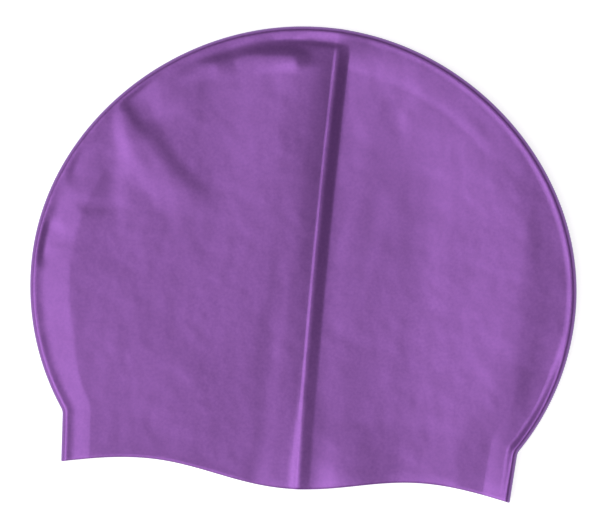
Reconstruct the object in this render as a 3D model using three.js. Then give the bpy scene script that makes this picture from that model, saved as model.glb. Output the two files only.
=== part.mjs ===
// A moulded silicone swim cap, lying flat on one side as it comes out of a swim bag.
//
// The cap is one thin rubber shell, hollow, open at its wavy hem. Lying down it has a top panel and
// a bottom panel that meet in a rounded fold all round the dome. X runs across the cap, Y from the
// hem to the crown, Z up from the surface that it lies on. Every size is in millimetres.

import * as THREE from "three";

// Outline of the lying cap, seen from above. Levels are measured from the dome's widest level.
const capWidth = 225;
const crownRise = 107.6; // widest level up to the fold at the crown
const domeFlatness = 0.008; // how far the dome falls short of an ellipse, half way round
const sideDrop = 59.5; // widest level down to where the dome meets the neck
const neckInset = 18.5; // the neck is this much narrower than the dome, on each side
const neckCrease = 5; // radius of the crease between dome and neck
const neckHeight = 20.5; // from that crease down to the corners of the hem
const neckTaper = 1.3; // the corners are this much further in than the crease
const archPlace = 0.62; // tops of the hem's two arches, as a share of the way out to the corners
const archRise = 4.6; // arches above the corners
const flapDrop = 7.3; // ear flap, in the middle, below the arches

// The shell and the fold round its edge. Heights are above the surface that the cap lies on.
const wall = 1.0;
const foldHeight = 8.8; // top of the fold at the middle of the cap
const foldLean = 1.4; // the fold stands this much higher on the far right, and lower on the far left
const foldDepth = 2.3; // from the outline in to the top of the fold
const beadHeight = 0.2; // the fold's top stands this much above the panel beside it
const beadLean = 0.1; // and this much more on the far right, less on the far left
const climbStart = 4.0; // from the outline in to where the top panel starts to climb
const leftClimbDelay = 1.0; // this much further in on the far left
const shoulderDepth = 17; // from the dome's outline in to the shoulder of the top panel
const neckShoulderDepth = 12;
const puffHeight = 10; // the top panel about its highest, on the far right

// The moulded rib that runs up one side, over the crown and down the other.
const ribHeight = 0.8;
const ribLowShare = 0.25; // of that height up the dome and over the crown
const ribLeftFlank = 1.7; // width of its steep flank
const leftFlankAtHem = 3;
const ribRightFlank = 5.5; // width of its long flank
const ribOffset = 3.9; // its crest lies this far right of the middle, because the cap lies a little twisted
const ribBow = 1.3; // and this much further right at the crown
const ribBend = 10; // level where it lies nearest the middle
const standHeight = 2.8; // left of the rib the top panel stands this much higher than right of it
const standAtHem = -0.18; // share of that at the hem
const standEnd = 100.5; // level where that step ends, short of the crown
const standReach = 45; // the step fades out over this width to the left
const standApex = 9; // it is highest this far left of the crest
const standDip = 0.34; // share of the step's height that is lost from there to the crest
const troughWidth = 22; // shallow trough beside the rib
const troughShift = 5.5; // the trough lies right of the crest
const troughDepth = 0.2;
const tentWidth = 28; // the bottom panel is lifted over this width, where its rib stands on the surface

// Height of the top panel, as shares of puffHeight. Each row is a level, as a share of the way from
// the hem's corners to the crown. The columns are places across, named by their side.
const across = { farLeft: -0.8, left: -0.4, middle: 0, right: 0.4, farRight: 0.8 };
const panelHeights = [
  { level: 0.0, farLeft: 0.86, left: 0.84, middle: 0.74, right: 0.75, farRight: 0.88 },
  { level: 0.06, farLeft: 0.84, left: 0.85, middle: 0.77, right: 0.77, farRight: 0.92 },
  { level: 0.14, farLeft: 0.83, left: 0.87, middle: 0.76, right: 0.76, farRight: 0.97 },
  { level: 0.27, farLeft: 0.86, left: 0.88, middle: 0.74, right: 0.75, farRight: 1.02 },
  { level: 0.43, farLeft: 0.87, left: 0.9, middle: 0.73, right: 0.74, farRight: 1.03 },
  { level: 0.65, farLeft: 0.87, left: 0.92, middle: 0.73, right: 0.74, farRight: 1.01 },
  { level: 0.85, farLeft: 0.86, left: 0.92, middle: 0.77, right: 0.83, farRight: 1.01 },
  { level: 1.0, farLeft: 0.83, left: 0.88, middle: 0.9, right: 0.96, farRight: 1.01 },
];

// Folds and dents in the top panel. from, by and to are places on each one's line: across as a share
// of half the width, level as in the table above. left and right are the widths of its flanks on
// those sides of the line, as shares of capWidth. lift is a share of puffHeight, less than 0 for a dent.
const folds = [
  {
    name: "pleat",
    from: [-0.64, 0.746], by: [-0.516, 0.645], to: [-0.338, 0.586],
    left: 0.036, right: 0.071, lift: 0.06,
  },
  {
    name: "pleat_mouth",
    from: [-0.738, 0.821], by: [-0.676, 0.789], to: [-0.604, 0.746],
    left: 0.062, right: 0.027, lift: -0.07,
  },
  {
    name: "left_valley",
    from: [-0.756, 0.757], by: [-0.72, 0.613], to: [-0.729, 0.501],
    left: 0.027, right: 0.058, lift: -0.05,
  },
  {
    name: "left_dent",
    from: [-0.876, 0.64], by: [-0.867, 0.656], to: [-0.858, 0.672],
    left: 0.022, right: 0.062, lift: -0.04,
  },
  {
    name: "left_pinch",
    from: [-0.969, 0.453], by: [-0.96, 0.477], to: [-0.951, 0.501],
    left: 0.022, right: 0.04, lift: -0.06,
  },
  {
    name: "crown_ridge",
    from: [-0.444, 0.896], by: [-0.249, 0.922], to: [-0.107, 0.93],
    left: 0.027, right: 0.04, lift: 0.085,
  },
  {
    name: "crown_pocket",
    from: [-0.489, 0.901], by: [-0.267, 0.949], to: [-0.107, 0.965],
    left: 0.018, right: 0.027, lift: -0.05,
  },
  {
    name: "neck_hollow",
    from: [0.924, 0.293], by: [0.88, 0.197], to: [0.782, 0.085],
    left: 0.022, right: 0.102, lift: -0.14,
  },
  {
    name: "hem_swell",
    from: [0.222, -0.021], by: [0.231, 0.053], to: [0.24, 0.139],
    left: 0.062, right: 0.062, lift: 0.07,
  },
];

// How finely the shell is faceted.
const neckRings = 4;
const creaseRings = 4;
const sideRings = 10;
const domeRings = 17;
const crownShare = 0.42; // rings stop at this share of half the width, and columns cross the crown
const topFoldAngles = [30, 60, 90];
const bottomFoldAngles = [-45, -90];
const shoulderShares = [0.29, 0.42, 0.6, 0.8]; // columns between the fold and the shoulder
const plainColumns = 7; // across a panel, between the shoulder and the tent on each side
const ribColumns = [-1, -0.5, 0, 0.33, 0.67, 1]; // across the rib, as shares of its two flanks

const { lerp, smoothstep, degToRad, clamp } = THREE.MathUtils;
const halfWidth = capWidth / 2;
const neckHalfWidth = halfWidth - neckInset;
const hemHalfWidth = neckHalfWidth - neckTaper;
const cornerLevel = -sideDrop - neckHeight;
const fullHeight = crownRise - cornerLevel;

// A smooth hump, 1 in the middle and 0 from half its width.
function hump(off, half) {
  const share = Math.min(Math.abs(off) / half, 1);
  return (1 + Math.cos(Math.PI * share)) / 2;
}

// A straight climb from 0 to 1 with rounded ends.
function climb(share) {
  const round = 0.14;
  const t = clamp(share, 0, 1);
  if (t < round) return t ** 2 / (2 * round) / (1 - round);
  if (t > 1 - round) return 1 - (1 - t) ** 2 / (2 * round) / (1 - round);
  return (t - round / 2) / (1 - round);
}

// Smooth curve through values at knots, read at one place.
function through(knots, values, at) {
  const last = knots.length - 1;
  const place = clamp(at, knots[0], knots[last]);
  let i = 0;
  while (i < last - 1 && place > knots[i + 1]) i++;
  const slope = (k) => {
    const a = Math.max(k - 1, 0);
    const b = Math.min(k + 1, last);
    return (values[b] - values[a]) / (knots[b] - knots[a]);
  };
  const span = knots[i + 1] - knots[i];
  const t = (place - knots[i]) / span;
  const plain = lerp(values[i], values[i + 1], t * t * (3 - 2 * t));
  return plain + span * (slope(i) * t * (1 - t) ** 2 - slope(i + 1) * t * t * (1 - t));
}

// The right half of the fold's line seen from above, below the widest level: neck, crease and side.
// Each stretch gives the point and the outward direction at a share of its length.
function lowerEdge() {
  const corner = new THREE.Vector2(hemHalfWidth, cornerLevel);
  const neckTop = new THREE.Vector2(neckHalfWidth, -sideDrop);
  const up = neckTop.clone().sub(corner).normalize();
  const out = new THREE.Vector2(up.y, -up.x);

  // The side is an arc that is upright at the widest level and passes through neckTop.
  const centreX = (halfWidth ** 2 - neckTop.lengthSq()) / (2 * (halfWidth - neckTop.x));
  const sideCentre = new THREE.Vector2(centreX, 0);
  const sideRadius = halfWidth - centreX;

  // The crease is an arc that touches neck and side from outside.
  const start = corner.clone().addScaledVector(out, neckCrease).sub(sideCentre);
  const along = start.dot(up);
  const reach = Math.sqrt(along ** 2 - start.lengthSq() + (sideRadius + neckCrease) ** 2);
  const away = reach < -along ? -along - reach : reach - along;
  const creaseCentre = sideCentre.clone().add(start).addScaledVector(up, away);
  const neckEnd = creaseCentre.clone().addScaledVector(out, -neckCrease);
  const toCrease = creaseCentre.clone().sub(sideCentre);
  const neckAngle = Math.atan2(out.y, out.x);
  const sideAngle = Math.atan2(toCrease.y, toCrease.x);

  const onArc = (centre, angle, radius) => {
    const direction = new THREE.Vector2(Math.cos(angle), Math.sin(angle));
    return { point: centre.clone().addScaledVector(direction, radius), out: direction };
  };
  return {
    neck: (share) => ({
      point: corner.clone().lerp(neckEnd, share),
      out: new THREE.Vector2(1, 0).lerp(out, share).normalize(),
    }),
    crease: (share) => onArc(creaseCentre, lerp(neckAngle, sideAngle, share), -neckCrease),
    side: (share) => onArc(sideCentre, lerp(sideAngle, 0, share), sideRadius),
  };
}

// The dome above the widest level, a slightly flattened ellipse. Turn is 0 at the widest level and
// 90 degrees at the crown.
function domeEdge(turn) {
  const at = (angle) => {
    const flat = 1 - domeFlatness * Math.sin(2 * angle) ** 2;
    return new THREE.Vector2(halfWidth * Math.cos(angle) * flat, crownRise * Math.sin(angle) * flat);
  };
  const step = 1e-4;
  const along = at(turn + step).sub(at(turn - step)).normalize();
  return { point: at(turn), out: new THREE.Vector2(along.y, -along.x) };
}

// A place some way in from the fold's line. Mirror is 1 on the right and -1 on the left.
function inward({ point, out }, mirror, depth) {
  return { x: mirror * (point.x - out.x * depth), y: point.y - out.y * depth };
}

// The dome's edge station from which the shoulder lies at x.
function stationAbove(x) {
  let low = 0;
  let high = Math.PI / 2;
  for (let i = 0; i < 40; i++) {
    const middle = (low + high) / 2;
    if (inward(domeEdge(middle), 1, shoulderDepth).x > Math.abs(x)) low = middle;
    else high = middle;
  }
  return domeEdge(low);
}

function shoulderLevelAbove(x) {
  return inward(stationAbove(x), 1, shoulderDepth).y;
}

// The hem above or below its corners: two arches with the ear flap between them.
function hemWave(x) {
  const share = Math.min(Math.abs(x) / hemHalfWidth, 1);
  if (share < archPlace) return archRise - flapDrop * hump(share, archPlace);
  return archRise * Math.cos((Math.PI / 2) * ((share - archPlace) / (1 - archPlace)));
}

// The rib's crest at a level, and how far the rib stands out.
function ribCrest(y) {
  return ribOffset + ribBow * ((y - ribBend) / (crownRise - ribBend)) ** 2;
}

function leftFlankAt(y) {
  return lerp(leftFlankAtHem, ribLeftFlank, smoothstep(y, cornerLevel, 0));
}

// Share of the long flank's height that is left at a distance right of the crest.
function rightOfCrest(off) {
  return 1 - climb(off / ribRightFlank);
}

function ribAt(x, y) {
  const off = x - ribCrest(y);
  const share = off < 0 ? hump(off, leftFlankAt(y)) : rightOfCrest(off);
  return ribHeight * share * lerp(1, ribLowShare, smoothstep(y, cornerLevel, 0));
}

// How far the top panel stands up beside the rib, highest a little left of it.
function standAt(x, y) {
  const off = x - ribCrest(y);
  const way = clamp((y - cornerLevel) / (standEnd - cornerLevel), 0, 1);
  const grown = lerp(standAtHem, 1, Math.sin((Math.PI / 2) * way));
  const ended = 1 - smoothstep(y, standEnd - 1, standEnd + 1);
  const nearLeft = 1 - standDip * clamp(1 + off / standApex, 0, 1) ** 1.5;
  const left = off < -standApex ? hump(off + standApex, standReach) : nearLeft;
  const share = off < 0 ? left : (1 - standDip) * rightOfCrest(off);
  return standHeight * grown * ended * share;
}

// The fold and the bottom panel are lifted where the rib stands on the surface below.
function liftAt(x, y) {
  return ribHeight * hump(x - ribCrest(y), tentWidth / 2);
}

function foldsAt(x, y) {
  const spot = ([share, level]) => new THREE.Vector2(share * halfWidth, cornerLevel + level * fullHeight);
  let sum = 0;
  for (const fold of folds) {
    const [start, middle, end] = [fold.from, fold.by, fold.to].map(spot);
    const stretches = [[start, middle], [middle, end]].map(([a, b]) => {
      const run = b.clone().sub(a);
      const place = new THREE.Vector2(x, y).sub(a);
      const off = place.addScaledVector(run, -clamp(place.dot(run) / run.lengthSq(), 0, 1));
      const side = run.cross(off) / (run.length() * Math.max(off.length(), 1e-6));
      return { distance: off.length(), side };
    });
    const nearest = stretches[0].distance < stretches[1].distance ? stretches[0] : stretches[1];
    const flank = lerp(fold.right, fold.left, (1 + nearest.side) / 2);
    sum += fold.lift * puffHeight * hump(nearest.distance, flank * capWidth);
  }
  return sum;
}

function foldTopAt(x, y) {
  return foldHeight + (foldLean * x) / halfWidth + liftAt(x, y);
}

function beadAt(x, depth) {
  const bead = beadHeight + (beadLean * x) / halfWidth;
  return bead * (1 - smoothstep(depth, foldDepth, climbStart + 0.3));
}

// Outside height of the top panel, at a depth in from the outline. Shoulder is the depth at which
// the climb from the fold ends.
const acrossNames = Object.keys(across);
const acrossPlaces = Object.values(across);
const panelLevels = panelHeights.map((row) => row.level);
function topHeight(x, y, depth, shoulder) {
  const shares = panelHeights.map((row) =>
    through(acrossPlaces, acrossNames.map((name) => row[name]), x / halfWidth),
  );
  const panel = puffHeight * through(panelLevels, shares, (y - cornerLevel) / fullHeight);
  const trough = troughDepth * hump(x - ribCrest(y) - troughShift, troughWidth / 2);
  const foldTop = foldTopAt(x, y);
  const start = climbStart + leftClimbDelay * smoothstep(-x, 0, halfWidth);
  const rise = climb((depth - start) / (shoulder - start));
  const dents = foldsAt(x, y) * smoothstep(depth, foldDepth, climbStart + 2.5);
  return foldTop + (panel + standAt(x, y) - trough - foldTop) * rise + dents + beadAt(x, depth);
}

// Stations up the cap's right side, where the rings start.
function ringStations() {
  const { neck, crease, side } = lowerEdge();
  const stretch = (count, at) => Array.from({ length: count }, (_, i) => at(i / count));
  const dome = (share) => ({ ...domeEdge(Math.acos(crownShare) * share), bulge: share ** 4 });
  const stations = [
    ...stretch(neckRings, neck),
    ...stretch(creaseRings, crease),
    ...stretch(sideRings, side),
    ...stretch(domeRings, dome),
    dome(1),
  ];
  return stations.map((station) => {
    const onDome = smoothstep(station.point.y, -sideDrop, -sideDrop / 2);
    return { ...station, shoulder: lerp(neckShoulderDepth, shoulderDepth, onDome) };
  });
}

// Places in from the fold's line at one station: over the top fold and up to the shoulder, or under
// the bottom fold.
function foldPlace(station, mirror, angle) {
  const turn = degToRad(angle);
  const { x, y } = inward(station, mirror, foldDepth * (1 - Math.cos(turn)));
  const low = liftAt(x, y);
  const top = foldTopAt(x, y) + beadAt(x, foldDepth);
  return new THREE.Vector3(x, y, lerp(low, top, (1 + Math.sin(turn)) / 2));
}

function topBand(station, mirror) {
  const slope = shoulderShares.map((share) => {
    const depth = share * station.shoulder;
    const { x, y } = inward(station, mirror, depth);
    return new THREE.Vector3(x, y, topHeight(x, y, depth, station.shoulder));
  });
  return [...topFoldAngles.map((angle) => foldPlace(station, mirror, angle)), ...slope];
}

function bottomBand(station, mirror) {
  return bottomFoldAngles.map((angle) => foldPlace(station, mirror, angle));
}

// Columns across a panel at one station, from its right shoulder to its left one, gathered at the
// rib. Rings near the crown bulge upward to follow it.
function acrossRow(station) {
  const shoulder = inward(station, 1, station.shoulder);
  const crest = ribCrest(shoulder.y);
  const leftFlank = leftFlankAt(shoulder.y);
  const flanks = ribColumns.map((share) => crest + share * (share < 0 ? leftFlank : ribRightFlank));
  const spread = (from, to) =>
    Array.from({ length: plainColumns }, (_, i) => lerp(from, to, i / plainColumns));
  const rightTent = crest + tentWidth / 2;
  const leftTent = crest - tentWidth / 2;
  const rightNearby = (rightTent + flanks.at(-1)) / 2;
  const leftNearby = (leftTent + flanks[0]) / 2;
  const xs = [
    ...spread(shoulder.x, rightTent),
    rightTent,
    rightNearby,
    ...flanks.reverse(),
    leftNearby,
    leftTent,
    ...spread(-shoulder.x, leftTent).reverse(),
  ];
  return xs.map((x) => {
    const rise = station.bulge ? station.bulge * (shoulderLevelAbove(x) - shoulder.y) : 0;
    return { x, y: shoulder.y + rise };
  });
}

// Numbers of the skin's places, ring by ring and then over the crown, and its triangles.
function outerSkin() {
  const places = [];
  const keep = (list) => list.map((place) => places.push(place) - 1);
  const triangles = [];
  const patch = (rows) => {
    for (let r = 0; r + 1 < rows.length; r++)
      for (let i = 0; i + 1 < rows[r].length; i++) {
        triangles.push(rows[r][i], rows[r + 1][i + 1], rows[r][i + 1]);
        triangles.push(rows[r][i], rows[r + 1][i], rows[r + 1][i + 1]);
      }
  };

  const rings = ringStations().map((station) => {
    const row = acrossRow(station);
    const panelHeight = (x, y) => topHeight(x, y, station.shoulder, station.shoulder);
    const top = row.map(({ x, y }) => new THREE.Vector3(x, y, panelHeight(x, y)));
    const bottom = row.map(({ x, y }) => new THREE.Vector3(x, y, liftAt(x, y)));
    const parts = {
      right: [foldPlace(station, 1, 0)],
      rightTop: topBand(station, 1),
      top,
      leftTop: topBand(station, -1).reverse(),
      left: [foldPlace(station, -1, 0)],
      leftBottom: bottomBand(station, -1),
      bottom: bottom.reverse(),
      rightBottom: bottomBand(station, 1).reverse(),
    };

    // The hem's wave fades out up the neck.
    const wave = 1 - smoothstep(station.point.y, cornerLevel, -sideDrop / 2);
    for (const place of Object.values(parts).flat()) place.y += wave * hemWave(place.x);
    return Object.fromEntries(Object.entries(parts).map(([name, list]) => [name, keep(list)]));
  });
  const closed = rings.map((ring) => [...Object.values(ring).flat(), ring.right[0]]);
  patch(closed);

  // Columns over the crown join the last ring's top row to its bottom row.
  const last = rings.at(-1);
  const bottomRow = [...last.bottom].reverse();
  const columns = last.top.map((number, k) => {
    if (k === 0) {
      const over = [...last.rightTop].reverse();
      const under = [...last.rightBottom].reverse();
      return [number, ...over, ...last.right, ...under, bottomRow[k]];
    }
    if (k === last.top.length - 1)
      return [number, ...last.leftTop, ...last.left, ...last.leftBottom, bottomRow[k]];
    const { x } = places[number];
    const station = { ...stationAbove(x), shoulder: shoulderDepth };
    const mirror = Math.sign(x) || 1;
    return [
      number,
      ...keep(topBand(station, mirror).reverse()),
      ...keep([foldPlace(station, mirror, 0)]),
      ...keep(bottomBand(station, mirror)),
      bottomRow[k],
    ];
  });
  patch(columns[0].map((_, d) => columns.map((column) => column[d])));
  return { places, triangles, hem: closed[0] };
}

// The shell: the outer skin with its rib, the same skin one wall thickness further in, and the hem.
function shellGeometry() {
  const { places, triangles, hem } = outerSkin();
  const plain = new THREE.BufferGeometry().setFromPoints(places);
  plain.setIndex(triangles);
  plain.computeVertexNormals();
  const normals = plain.getAttribute("normal");
  const outward = places.map((_, i) => new THREE.Vector3().fromBufferAttribute(normals, i));

  const moved = (away) => places.map((place, i) => place.clone().addScaledVector(outward[i], away(place)));
  const outer = moved(({ x, y }) => ribAt(x, y));
  const inner = moved(() => -wall);
  const inside = places.length;
  const faces = [...triangles];
  for (let i = 0; i < triangles.length; i += 3)
    faces.push(triangles[i] + inside, triangles[i + 2] + inside, triangles[i + 1] + inside);
  for (let i = 0; i + 1 < hem.length; i++) {
    faces.push(hem[i], hem[i + 1], hem[i] + inside);
    faces.push(hem[i] + inside, hem[i + 1], hem[i + 1] + inside);
  }
  const geometry = new THREE.BufferGeometry().setFromPoints([...outer, ...inner]);
  geometry.setIndex(faces);
  geometry.computeVertexNormals();
  return geometry;
}

const silicone = new THREE.MeshStandardMaterial({ color: 0x8859a4, roughness: 0.42, metalness: 0 });
const shell = new THREE.Mesh(shellGeometry(), silicone);
shell.name = "cap_shell";

// The origin is under the middle of the lying cap, half way from the ear flap's tip to the crown.
const flapTip = cornerLevel + archRise - flapDrop;
shell.position.y = -(crownRise + ribHeight * ribLowShare + flapTip) / 2;

const cap = new THREE.Group();
cap.name = "swim_cap";
cap.add(shell);

export default cap;
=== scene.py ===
import math
import bpy
import numpy as np
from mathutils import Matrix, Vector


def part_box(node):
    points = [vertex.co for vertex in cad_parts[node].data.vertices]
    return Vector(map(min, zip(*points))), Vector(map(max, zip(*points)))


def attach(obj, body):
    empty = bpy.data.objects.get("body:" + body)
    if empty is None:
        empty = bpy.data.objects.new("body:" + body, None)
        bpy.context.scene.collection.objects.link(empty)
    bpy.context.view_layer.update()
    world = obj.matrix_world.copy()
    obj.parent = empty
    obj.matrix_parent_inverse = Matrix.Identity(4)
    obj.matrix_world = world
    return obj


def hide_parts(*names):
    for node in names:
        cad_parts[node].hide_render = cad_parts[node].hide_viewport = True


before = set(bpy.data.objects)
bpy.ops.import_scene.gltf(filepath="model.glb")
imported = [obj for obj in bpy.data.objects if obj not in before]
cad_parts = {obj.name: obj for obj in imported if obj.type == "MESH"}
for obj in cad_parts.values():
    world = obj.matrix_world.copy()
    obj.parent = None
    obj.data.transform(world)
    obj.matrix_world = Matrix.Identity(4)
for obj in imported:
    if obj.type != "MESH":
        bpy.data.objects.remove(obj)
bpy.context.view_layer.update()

# The view. The cap is seen from straight above through a long lens, turned a little on its surface,
# so that the crown leans to the right of the picture.
cap_low, cap_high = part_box("cap_shell")
cap_width = cap_high.x - cap_low.x
mm = cap_width / 225.0
view_height = 4000 * mm
picture_width = 247.2 * mm
view_middle = (-2.3 * mm, (cap_low.y + cap_high.y) / 2 - 2.9 * mm)
crown_lean = math.radians(5.3)

lens = bpy.data.cameras.new("camera")
lens.sensor_width = 36.0
lens.lens = lens.sensor_width * view_height / picture_width
lens.clip_start = 0.05
lens.clip_end = 20.0
camera = bpy.data.objects.new("camera", lens)
camera.location = (view_middle[0], view_middle[1], view_height)
camera.rotation_euler = (0.0, 0.0, crown_lean)
bpy.context.scene.collection.objects.link(camera)
bpy.context.scene.camera = camera

# The surface and the light. A plain white table, and a large window-like light to the left of the
# cap, so that every slope which faces it is bright. A small lamp with a soft-edged beam stands nearly
# overhead, and brightens the right panel.
scene = bpy.context.scene
scene.view_settings.view_transform = "Standard"
scene.view_settings.look = "None"

sky = bpy.data.worlds.new("room")
sky.use_nodes = True
sky.node_tree.nodes["Background"].inputs["Color"].default_value = (1.0, 1.0, 1.0, 1.0)
sky.node_tree.nodes["Background"].inputs["Strength"].default_value = 0.11
scene.world = sky

table_half = 1.5
table_mesh = bpy.data.meshes.new("table_top")
table_mesh.from_pydata(
    [(-table_half, -table_half, 0), (table_half, -table_half, 0),
     (table_half, table_half, 0), (-table_half, table_half, 0)],
    [], [(0, 1, 2, 3)])
table_top = bpy.data.objects.new("table_top", table_mesh)
scene.collection.objects.link(table_top)

table_paint = bpy.data.materials.new("white_table")
table_paint.use_nodes = True
paint = table_paint.node_tree.nodes["Principled BSDF"]
paint.inputs["Base Color"].default_value = (0.45, 0.45, 0.45, 1.0)
paint.inputs["Roughness"].default_value = 0.9
paint.inputs["Specular IOR Level"].default_value = 0.1
paint.inputs["Emission Color"].default_value = (1.0, 1.0, 1.0, 1.0)
paint.inputs["Emission Strength"].default_value = 0.85
table_mesh.materials.append(table_paint)


def aim(light, place, target):
    """Put a light at a place and turn it toward a point on the table."""
    run_x, run_y = target[0] - place[0], target[1] - place[1]
    light.location = place
    light.rotation_euler = (math.atan2(math.hypot(run_x, run_y), place[2]), 0.0, math.atan2(-run_x, run_y))
    scene.collection.objects.link(light)


window_place = (-2.75, -1.92, 4.2)
window_pane = bpy.data.lights.new("window", "AREA")
window_pane.shape = "SQUARE"
window_pane.size = 6.3
window_pane.energy = 375.0
aim(bpy.data.objects.new("window", window_pane), window_place, (0.0, 0.0))

beam_place = (-0.45, -0.28, 2.4)
beam_aim = (75 * mm, -22 * mm)
beam_half = 100 * mm
beam_bulb = bpy.data.lights.new("beam", "SPOT")
beam_bulb.energy = 41.0
beam_bulb.shadow_soft_size = 0.15
beam_bulb.spot_blend = 1.0
beam_bulb.spot_size = 2 * math.atan(beam_half / math.dist(beam_place, (*beam_aim, 0.0)))
aim(bpy.data.objects.new("beam", beam_bulb), beam_place, beam_aim)

# The cap. One moulded silicone shell under a millimetre thick, lying flat: a top panel and a bottom
# panel that meet in a rounded fold. Its rib runs up the middle of both panels. It is moulded in one
# piece, so nothing is joined on. Sizes are in mm, and levels are from the dome's widest level.
wall = 0.8

# Outline, seen from above.
half_width = 112.5
crown_rise = 107.6
dome_flatness = 0.008
side_drop = 59.5
neck_inset = 18.5
neck_crease = 5.0
neck_height = 20.5
neck_taper = 1.3
arch_place = 0.62
arch_rise = 4.6
flap_drop = 7.3

# Fold round the edge, and the climb from it to the top panel. Depths are in from the outline.
fold_height = 8.8
fold_lean = 1.4
fold_depth = 1.95
bead_height = 0.2
bead_lean = 0.1
climb_start = 3.7
bead_end = climb_start + 0.3
left_climb_delay = 0.9
climb_rounding = 0.14
dents_start = 1.8
dents_full = 4.8
puff_height = 10.0
shoulder_depth = 17.0
neck_shoulder_depth = 12.0

# Moulded rib.
rib_height = 0.8
rib_low_share = 0.32
rib_low_level = -30.0
rib_left_flank = 1.7
left_flank_at_hem = 3.0
rib_right_flank = 5.5
right_flank_rounding = 0.25
rib_offset = 3.9
rib_bow = 1.3
rib_bend = 10.0

# How the top panel lies beside the rib: a step up on the left, which ends below the crown, and a
# shallow trough on the right. The bottom panel is lifted over tent_width, where its rib lies on the table.
rib_stand = 3.0
stand_at_hem = -0.22
stand_end = 100.5
stand_reach = 45.0
stand_apex = 9.0
stand_dip = 0.31
stand_dip_curve = 1.5
stand_fade = 1.0
rib_lost_at_crown = 0.8
rib_fade_start = stand_end - 3.0
trough_width = 22.0
trough_shift = 5.5
trough_depth = 0.2
tent_width = 28.0

neck_half = half_width - neck_inset
hem_half = neck_half - neck_taper
corner_level = -side_drop - neck_height
full_height = crown_rise - corner_level

# Height of the top panel as shares of puff_height: a row for each level from the corners of the hem
# to the crown, a column for each place across as a share of half the width.
panel_across = np.array([-0.8, -0.4, 0.0, 0.4, 0.8])
panel_levels = np.array([0.0, 0.06, 0.14, 0.27, 0.43, 0.65, 0.85, 1.0])
panel_shares = np.array([
    [0.86, 0.84, 0.74, 0.75, 0.88],
    [0.84, 0.85, 0.77, 0.77, 0.92],
    [0.83, 0.87, 0.76, 0.76, 0.97],
    [0.86, 0.88, 0.72, 0.745, 1.02],
    [0.865, 0.90, 0.70, 0.74, 1.03],
    [0.87, 0.92, 0.70, 0.74, 1.01],
    [0.86, 0.92, 0.75, 0.83, 1.01],
    [0.83, 0.88, 0.90, 0.96, 1.01],
])


def hump(off, half):
    """1 in the middle, and 0 from half its width."""
    share = np.minimum(np.abs(off) / half, 1.0)
    return (1 + np.cos(np.pi * share)) / 2


def climb(share, rounding):
    """From 0 to 1 in a straight run with rounded ends."""
    t = np.clip(share, 0.0, 1.0)
    start = t ** 2 / (2 * rounding)
    finish = (1 - rounding) - (1 - t) ** 2 / (2 * rounding)
    straight = t - rounding / 2
    return np.where(t < rounding, start, np.where(t > 1 - rounding, finish, straight)) / (1 - rounding)


def ease(value, low, high):
    """From 0 to 1 between two values, slow at both ends."""
    t = np.clip((value - low) / (high - low), 0.0, 1.0)
    return t * t * (3 - 2 * t)


def spline_weights(knots, at):
    """How much each knot's value counts at each place, for a smooth curve through all of them."""
    count = len(knots)
    at = np.clip(at, knots[0], knots[-1])
    first = np.clip(np.searchsorted(knots, at, side="right") - 1, 0, count - 2)
    span = knots[first + 1] - knots[first]
    t = (at - knots[first]) / span
    weights = np.zeros(at.shape + (count,))
    rows = np.arange(at.size)
    flat = weights.reshape(-1, count)

    def add(index, amount):
        np.add.at(flat, (rows, index.ravel()), np.asarray(amount).ravel())

    bend = t * t * (3 - 2 * t)
    add(first, 1 - bend)
    add(first + 1, bend)
    for knot, amount in ((first, span * t * (1 - t) ** 2), (first + 1, -span * t * t * (1 - t))):
        before = np.maximum(knot - 1, 0)
        after = np.minimum(knot + 1, count - 1)
        run = knots[after] - knots[before]
        add(after, amount / run)
        add(before, -amount / run)
    return weights


def panel_height(x, y):
    across = spline_weights(panel_across, x / half_width)
    along = spline_weights(panel_levels, (y - corner_level) / full_height)
    return puff_height * np.einsum("...r,rc,...c->...", along, panel_shares, across)


def rib_crest(y):
    return rib_offset + rib_bow * ((y - rib_bend) / (crown_rise - rib_bend)) ** 2


def right_of_crest(off):
    return 1 - climb(off / rib_right_flank, right_flank_rounding)


def rib_at(x, y):
    """How far the rib stands out: steep on the left, long on the right, and lower up the dome."""
    off = x - rib_crest(y)
    up_dome = ease(y, corner_level, rib_low_level)
    left_flank = left_flank_at_hem + (rib_left_flank - left_flank_at_hem) * up_dome
    share = np.where(off < 0, hump(off, left_flank), right_of_crest(off))
    at_crown = 1 - rib_lost_at_crown * ease(y, rib_fade_start, stand_end + stand_fade)
    return rib_height * share * (1 - (1 - rib_low_share) * up_dome) * at_crown


def stand_at(x, y):
    """The panel left of the rib lies higher than the one on its right, up to a little below the crown."""
    off = x - rib_crest(y)
    grown = np.clip((y - corner_level) / (stand_end - corner_level), 0.0, 1.0)
    grown = stand_at_hem + (1 - stand_at_hem) * np.sin(np.pi / 2 * grown)
    far_left = hump(off + stand_apex, stand_reach)
    near_left = 1 - stand_dip * np.clip(1 + off / stand_apex, 0.0, 1.0) ** stand_dip_curve
    left = np.where(off < -stand_apex, far_left, near_left)
    share = np.where(off < 0, left, (1 - stand_dip) * right_of_crest(off))
    return rib_stand * grown * share * (1 - ease(y, stand_end - stand_fade, stand_end + stand_fade))


def lift_at(x, y):
    """How far the rib underneath lifts the cap off the table."""
    return rib_height * hump(x - rib_crest(y), tent_width / 2)


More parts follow.
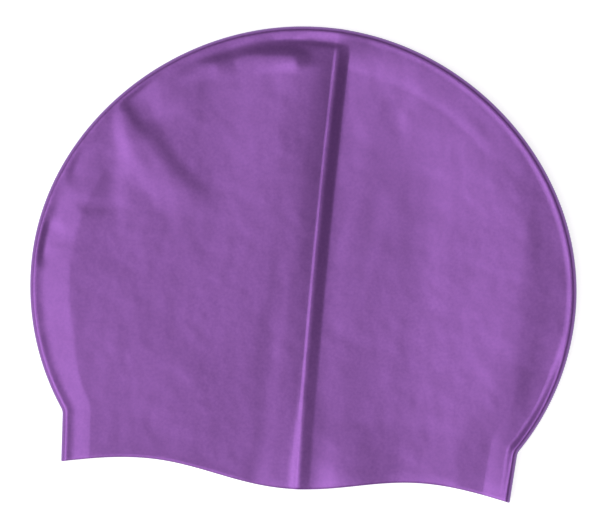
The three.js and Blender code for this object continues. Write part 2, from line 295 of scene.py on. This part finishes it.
# Folds and dents. Each has a line of places in mm from the middle of the widest level, with the share
# of its lift that it has there, then the widths of its flanks left and right of the line, and the lift.
folds = {
    "pleat": (
        [(-73, 63, 0.3), (-68, 55, 1), (-60, 43, 1), (-50, 35.5, 0.8), (-38, 30, 0)], 7.0, 15.0, 0.55),
    "pleat_mouth": ([(-79, 58, 0.6), (-74, 46, 1), (-67, 36, 0)], 7.0, 5.0, 0.3),
    "left_valley": ([(-85, 62, 0.6), (-82, 45, 1), (-81, 30, 0.8), (-82, 14, 0)], 6.0, 13.0, -0.5),
    "pleat_pocket": ([(-84, 76, 0.8), (-77, 69, 1), (-70, 62, 0.9), (-66, 57, 0.2)], 18.0, 6.0, -0.8),
    "crown_ridge": (
        [(-62, 84, 0.2), (-52, 87, 0.5), (-44, 88.5, 1), (-37, 91, 0.4), (-30, 93, 0.8),
         (-18, 94.3, 1.1), (-11.5, 94.5, 1.4), (-6, 95, 0)], 4.5, 8.0, 0.8),
    "crown_pocket": (
        [(-64, 82, 0.3), (-55, 88, 0.9), (-47, 92, 0.4), (-38, 96, 1), (-30, 98.5, 0.8),
         (-22, 100, 1.3), (-13, 101, 1.3), (-8, 102, 0.2), (-3, 103, 0.6), (6, 103, 0.5),
         (14, 102, 0)], 3.0, 6.0, -0.4),
    "upper_edge_dent": ([(-98.5, 40, 1), (-96.5, 46, 1)], 3.0, 14.0, -0.4),
    "left_pinch": ([(-110, 5, 1), (-108.5, 14, 1)], 3.0, 10.0, -0.7),
    "edge_dimple": ([(-103, 13, 1), (-103, 22, 0.5)], 4.0, 12.0, -0.2),
    "side_crease": ([(-92, 25, 1), (-80, 26, 0.5)], 6.0, 4.0, -0.2),
    "neck_hollow": (
        [(108, -10, 0), (105.5, -26, 0.7), (102, -40, 1), (97.5, -50, 1), (92, -60, 1),
         (89, -75, 0.5)], 2.5, 26.0, -1.3),
    "right_bump": ([(37, 76, 1), (39, 80, 1)], 4.0, 14.0, 0.2),
    "right_shoulder": ([(22, 92, 0), (45, 83, 1), (66, 65, 1), (82, 42, 1), (91, 15, 0)], 10.0, 28.0, 0.25),
    "left_shoulder": ([(-106, 22, 0), (-101, 38, 1), (-90, 58, 1), (-72, 77, 0)], 4.0, 16.0, 0.35),
    "right_wave": ([(28, 84, 0.5), (37, 60, 1), (44, 30, 1), (47, 0, 1), (48, -50, 0)], 16.0, 9.0, -0.15),
    "rib_groove": ([(-12, -84, 1), (-12, -10, 1), (-9, 35, 0)], 4.0, 7.0, -0.15),
    "rib_foot": ([(6.5, -84, 1), (6.5, -66, 0.8), (6, -40, 0)], 3.5, 10.0, 0.25),
    "hem_swell": ([(25, -84, 1), (26, -70, 0.6), (27, -54, 0)], 16.0, 22.0, 1.1),
    "hem_hollow": (
        [(-14, -83, 0.4), (14, -83, 1), (30, -83, 0.7), (45, -83, 1), (66, -83, 1)], 7.0, 5.0, -0.5),
}


def folds_at(x, y):
    total = np.zeros_like(x)
    for places, left, right, lift in folds.values():
        best = np.full(x.shape, 1e9)
        side = np.zeros_like(x)
        strength = np.zeros_like(x)
        for (ax, ay, a_share), (bx, by, b_share) in zip(places, places[1:]):
            rx, ry = bx - ax, by - ay
            along = np.clip(((x - ax) * rx + (y - ay) * ry) / (rx * rx + ry * ry), 0.0, 1.0)
            ox, oy = x - ax - along * rx, y - ay - along * ry
            far = np.hypot(ox, oy)
            turn = (rx * oy - ry * ox) / (math.hypot(rx, ry) * np.maximum(far, 1e-6))
            nearer = far < best
            best = np.where(nearer, far, best)
            side = np.where(nearer, turn, side)
            strength = np.where(nearer, a_share + (b_share - a_share) * along, strength)
        total += lift * strength * hump(best, right + (left - right) * (1 + side) / 2)
    return total


def fold_top_at(x, y):
    return fold_height + fold_lean * x / half_width + lift_at(x, y)


def bead_at(x, depth):
    bead = bead_height + bead_lean * x / half_width
    return bead * (1 - ease(depth, fold_depth, bead_end))


def top_height(x, y, depth, shoulder):
    fold_top = fold_top_at(x, y)
    start = climb_start + left_climb_delay * ease(-x, 0.0, half_width)
    rise = climb((depth - start) / (shoulder - start), climb_rounding)
    trough = trough_depth * hump(x - rib_crest(y) - trough_shift, trough_width / 2)
    dents = folds_at(x, y) * ease(depth, dents_start, dents_full)
    panel = panel_height(x, y) - trough + stand_at(x, y)
    return fold_top + (panel - fold_top) * rise + dents + bead_at(x, depth)


def dome_edge(turn):
    """The dome's outline above its widest level, with outward directions."""
    def at(angle):
        flat = 1 - dome_flatness * np.sin(2 * angle) ** 2
        return np.stack([half_width * np.cos(angle) * flat, crown_rise * np.sin(angle) * flat], -1)
    along = at(turn + 1e-4) - at(turn - 1e-4)
    along /= np.linalg.norm(along, axis=-1, keepdims=True)
    return at(turn), np.stack([along[..., 1], -along[..., 0]], -1)


def lower_edge():
    """Points and outward directions up the neck, round the crease and up the side of the dome."""
    corner = np.array([hem_half, corner_level])
    neck_top = np.array([neck_half, -side_drop])
    up = (neck_top - corner) / np.linalg.norm(neck_top - corner)
    out = np.array([up[1], -up[0]])
    centre_x = (half_width ** 2 - neck_top @ neck_top) / (2 * (half_width - neck_half))
    side_radius = half_width - centre_x
    start = corner + out * neck_crease - (centre_x, 0)
    along = start @ up
    reach = math.sqrt(along ** 2 - start @ start + (side_radius + neck_crease) ** 2)
    away = -along - reach if reach < -along else reach - along
    crease_centre = np.array([centre_x, 0]) + start + up * away
    neck_end = crease_centre - out * neck_crease
    to_crease = crease_centre - (centre_x, 0)
    neck_angle = math.atan2(out[1], out[0])
    side_angle = math.atan2(to_crease[1], to_crease[0])
    points, outs = [], []
    for share in np.arange(neck_rings) / neck_rings:
        points.append(corner + (neck_end - corner) * share)
        turned = np.array([1.0, 0.0]) * (1 - share) + out * share
        outs.append(turned / np.linalg.norm(turned))
    for share in np.arange(crease_rings) / crease_rings:
        angle = neck_angle + (side_angle - neck_angle) * share
        direction = np.array([math.cos(angle), math.sin(angle)])
        points.append(crease_centre - direction * neck_crease)
        outs.append(direction)
    for share in np.arange(side_rings) / side_rings:
        angle = side_angle * (1 - share)
        direction = np.array([math.cos(angle), math.sin(angle)])
        points.append(np.array([centre_x, 0]) + direction * side_radius)
        outs.append(direction)
    return np.array(points), np.array(outs)


def hem_wave(x):
    """The hem above or below its corners: two arches with the ear flap between them."""
    share = np.minimum(np.abs(x) / hem_half, 1.0)
    flap = arch_rise - flap_drop * hump(share, arch_place)
    corner = arch_rise * np.cos(np.pi / 2 * np.clip((share - arch_place) / (1 - arch_place), 0, 1))
    return np.where(share < arch_place, flap, corner)


# The rings run from the hem upward. Each goes over the fold, across the top panel, round the other
# fold and back under the bottom panel. Near the crown the columns of the last ring go over instead.
crown_share = 0.42
neck_rings = 18
crease_rings = 12
side_rings = 44
dome_rings = 84
crown_bulge_curve = 4
edge_points, edge_outs = lower_edge()
dome_shares = np.arange(dome_rings + 1) / dome_rings
dome_points, dome_outs = dome_edge(math.acos(crown_share) * dome_shares)
edge_points = np.vstack([edge_points, dome_points])
edge_outs = np.vstack([edge_outs, dome_outs])
ring_count = len(edge_points)
bulges = np.concatenate([np.zeros(ring_count - dome_rings - 1), dome_shares ** crown_bulge_curve])
on_dome = ease(edge_points[:, 1], -side_drop, -side_drop / 2)
shoulders = neck_shoulder_depth + (shoulder_depth - neck_shoulder_depth) * on_dome

crown_steps = 2000
crown_turns = np.linspace(0, np.pi / 2, crown_steps + 1)
crown_points, crown_outs = dome_edge(crown_turns)
crown_shoulder = crown_points - crown_outs * shoulder_depth


def crown_level_above(x):
    return np.interp(-np.abs(x), -crown_shoulder[:, 0], crown_shoulder[:, 1])


def crown_turn_above(x):
    return np.interp(-np.abs(x), -crown_shoulder[:, 0], crown_turns)


fold_steps = 8
slope_steps = 16
left_flank_steps = 8
right_flank_steps = 16
plain_columns = 30
left_tent_columns = 8
right_tent_columns = 6
top_angles = np.radians(np.linspace(0, 90, fold_steps + 1))
bottom_angles = np.radians(np.linspace(-90, 0, fold_steps + 1)[:-1])
slope_shares = np.linspace(0, 1, slope_steps + 1)[1:-1]
rib_columns = np.concatenate([np.linspace(-1, 0, left_flank_steps + 1)[:-1] * rib_left_flank,
                              np.linspace(0, 1, right_flank_steps + 1) * rib_right_flank])


def fold_places(point, out, mirror, angles):
    """Places round the fold, from its outer edge to its top or to the table."""
    depth = fold_depth * (1 - np.cos(angles))
    x = mirror * (point[0] - out[0] * depth)
    y = point[1] - out[1] * depth
    top = fold_top_at(x, y) + bead_at(x, fold_depth)
    low = lift_at(x, y)
    return np.stack([x, y, low + (top - low) * (1 + np.sin(angles)) / 2], -1)


def slope_places(point, out, mirror, shoulder):
    """Places on the climb from the fold to the shoulder of the top panel."""
    depth = fold_depth + (shoulder - fold_depth) * slope_shares
    x = mirror * (point[0] - out[0] * depth)
    y = point[1] - out[1] * depth
    return np.stack([x, y, top_height(x, y, depth, shoulder)], -1)


def across_places(shoulder_x, shoulder_y, bulge):
    """Places across the top panel from right to left, close together over the rib."""
    crest = rib_crest(shoulder_y)
    right_tent = crest + tent_width / 2
    left_tent = crest - tent_width / 2
    right = np.linspace(shoulder_x, right_tent, plain_columns, endpoint=False)
    right_near = np.linspace(right_tent, crest + rib_right_flank, right_tent_columns, endpoint=False)
    left_near = np.linspace(crest - rib_left_flank, left_tent, left_tent_columns, endpoint=False)[1:]
    left = np.linspace(left_tent, -shoulder_x, plain_columns + 1)
    x = np.concatenate([right, right_near, (crest + rib_columns)[::-1], left_near, left])
    y = shoulder_y + (bulge * (crown_level_above(x) - shoulder_y) if bulge else 0.0) + 0 * x
    return x, y


rows = []
for k in range(ring_count):
    point, out, shoulder = edge_points[k], edge_outs[k], shoulders[k]
    x, y = across_places(*(point - out * shoulder), bulges[k])
    top = np.stack([x, y, top_height(x, y, np.full(x.shape, shoulder), shoulder)], -1)
    bottom = np.stack([x, y, lift_at(x, y)], -1)
    right_fold = fold_places(point, out, 1, top_angles)
    left_fold = fold_places(point, out, -1, top_angles)
    right_under = fold_places(point, out, 1, bottom_angles)
    left_under = fold_places(point, out, -1, bottom_angles)
    row = np.vstack([
        right_fold, slope_places(point, out, 1, shoulder), top,
        slope_places(point, out, -1, shoulder)[::-1], left_fold[::-1],
        left_under[::-1], bottom[::-1], right_under,
    ])
    wave = 1 - ease(point[1], corner_level, -side_drop / 2)
    row[:, 1] += wave * hem_wave(row[:, 0])
    rows.append(row)
ring_places = np.array(rows)
ring_size = ring_places.shape[1]

fold_count = len(top_angles)
band_count = fold_count + len(slope_shares)
across_count = len(top)
under_count = len(bottom_angles)
top_first = band_count
left_first = top_first + across_count
bottom_first = left_first + band_count + under_count

faces = []
numbers = np.arange(ring_count * ring_size).reshape(ring_count, ring_size)


def patch(grid):
    """Join a grid of numbered places with four-sided faces."""
    a, b = grid[:-1, :-1], grid[:-1, 1:]
    c, d = grid[1:, 1:], grid[1:, :-1]
    faces.extend(np.stack([a, d, c, b], -1).reshape(-1, 4).tolist())


patch(np.hstack([numbers, numbers[:, :1]]))

# Columns over the crown, from the last ring's top row to its bottom row.
last = numbers[-1]
last_top = last[top_first:left_first]
last_bottom = last[bottom_first:bottom_first + across_count][::-1]
over_right = np.concatenate([last[:band_count][::-1], last[bottom_first + across_count:][::-1]])
over_left = last[left_first:bottom_first]
extra = []
next_number = ring_count * ring_size
columns = []
for k in range(across_count):
    if k == 0:
        middle = over_right
    elif k == across_count - 1:
        middle = over_left
    else:
        x = ring_places[-1, top_first + k, 0]
        mirror = 1 if x >= 0 else -1
        point, out = dome_edge(crown_turn_above(x))
        places = np.vstack([
            slope_places(point, out, mirror, shoulder_depth)[::-1],
            fold_places(point, out, mirror, top_angles)[::-1],
            fold_places(point, out, mirror, bottom_angles)[::-1],
        ])
        extra.append(places)
        middle = np.arange(next_number, next_number + len(places))
        next_number += len(places)
    columns.append(np.concatenate([[last_top[k]], middle, [last_bottom[k]]]))
patch(np.array(columns).T)

places = np.vstack([ring_places.reshape(-1, 3)] + extra)
quads = np.array(faces)


def outward_directions(points, quads):
    """Direction square to the skin at each of its places."""
    diagonal_a = points[quads[:, 2]] - points[quads[:, 0]]
    diagonal_b = points[quads[:, 3]] - points[quads[:, 1]]
    normal = np.cross(diagonal_a, diagonal_b)
    total = np.zeros_like(points)
    for corner in range(4):
        np.add.at(total, quads[:, corner], normal)
    return total / np.linalg.norm(total, axis=1, keepdims=True)


outward = outward_directions(places, quads)
outside = places + outward * rib_at(places[:, 0], places[:, 1])[:, None]
inside = places - outward * wall

# The hem is cut square with its corners rounded off.
hem = numbers[0]
lip_count = 3
lip_bulge = 0.35 * wall
lip_rings = []
for share in (np.arange(lip_count) + 1) / (lip_count + 1):
    lip = outside[hem] * (1 - share) + inside[hem] * share
    lip[:, 1] -= lip_bulge * math.sin(math.pi * share)
    lip_rings.append(lip)
count = len(places)
lip_numbers = 2 * count + np.arange(lip_count * ring_size).reshape(lip_count, ring_size)
hem_rings = np.vstack([hem[None], lip_numbers, hem[None] + count])
closed = np.hstack([hem_rings, hem_rings[:, :1]])
a, b = closed[:-1, :-1], closed[:-1, 1:]
c, d = closed[1:, 1:], closed[1:, :-1]
lip_faces = np.stack([a, b, c, d], -1).reshape(-1, 4).tolist()

# The frame's origin is half way from the ear flap's tip to the crown.
cap_points = np.vstack([outside, inside] + lip_rings)
cap_points[:, 1] -= (crown_rise + rib_height * rib_low_share + corner_level + arch_rise - flap_drop) / 2
cap_faces = faces + (quads[:, ::-1] + count).tolist() + lip_faces

cap_mesh = bpy.data.meshes.new("cap")
cap_mesh.from_pydata((cap_points * mm).tolist(), [], cap_faces)
cap_mesh.validate()
cap_mesh.shade_smooth()
cap = bpy.data.objects.new("cap", cap_mesh)
scene.collection.objects.link(cap)

# The silicone is dyed purple with a fine pearl pigment, and has the satin skin of its mould.
silicone = bpy.data.materials.new("pearl_silicone")
silicone.use_nodes = True
nodes = silicone.node_tree.nodes
links = silicone.node_tree.links
skin = nodes["Principled BSDF"]
skin.inputs["Metallic"].default_value = 0.55
skin.inputs["IOR"].default_value = 1.41
skin.inputs["Specular Tint"].default_value = (0.6, 0.6, 0.8, 1.0)

where = nodes.new("ShaderNodeTexCoord")
pearl = nodes.new("ShaderNodeTexNoise")
pearl.inputs["Scale"].default_value = 1.0 / (1.2 * mm)
pearl.inputs["Detail"].default_value = 4.0
links.new(where.outputs["Object"], pearl.inputs["Vector"])

dye = nodes.new("ShaderNodeValToRGB")
dye.color_ramp.elements[0].position = 0.3
dye.color_ramp.elements[0].color = (0.235, 0.088, 0.348, 1.0)
dye.color_ramp.elements[1].position = 0.7
dye.color_ramp.elements[1].color = (0.275, 0.108, 0.395, 1.0)
links.new(pearl.outputs["Fac"], dye.inputs["Fac"])
links.new(dye.outputs["Color"], skin.inputs["Base Color"])

gloss = nodes.new("ShaderNodeMapRange")
gloss.inputs["To Min"].default_value = 0.38
gloss.inputs["To Max"].default_value = 0.46
links.new(pearl.outputs["Fac"], gloss.inputs["Value"])
links.new(gloss.outputs["Result"], skin.inputs["Roughness"])

grain = nodes.new("ShaderNodeBump")
grain.inputs["Strength"].default_value = 0.08
grain.inputs["Distance"].default_value = 0.1 * mm
links.new(pearl.outputs["Fac"], grain.inputs["Height"])

# The soft sheet is never quite flat.
sag = nodes.new("ShaderNodeTexNoise")
sag.inputs["Scale"].default_value = 1.0 / (18.0 * mm)
sag.inputs["Detail"].default_value = 2.0
links.new(where.outputs["Object"], sag.inputs["Vector"])
ripple = nodes.new("ShaderNodeBump")
ripple.inputs["Strength"].default_value = 0.5
ripple.inputs["Distance"].default_value = 1.0 * mm
links.new(sag.outputs["Fac"], ripple.inputs["Height"])
links.new(ripple.outputs["Normal"], grain.inputs["Normal"])
links.new(grain.outputs["Normal"], skin.inputs["Normal"])

cap_mesh.materials.append(silicone)
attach(cap, "root")
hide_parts("cap_shell")
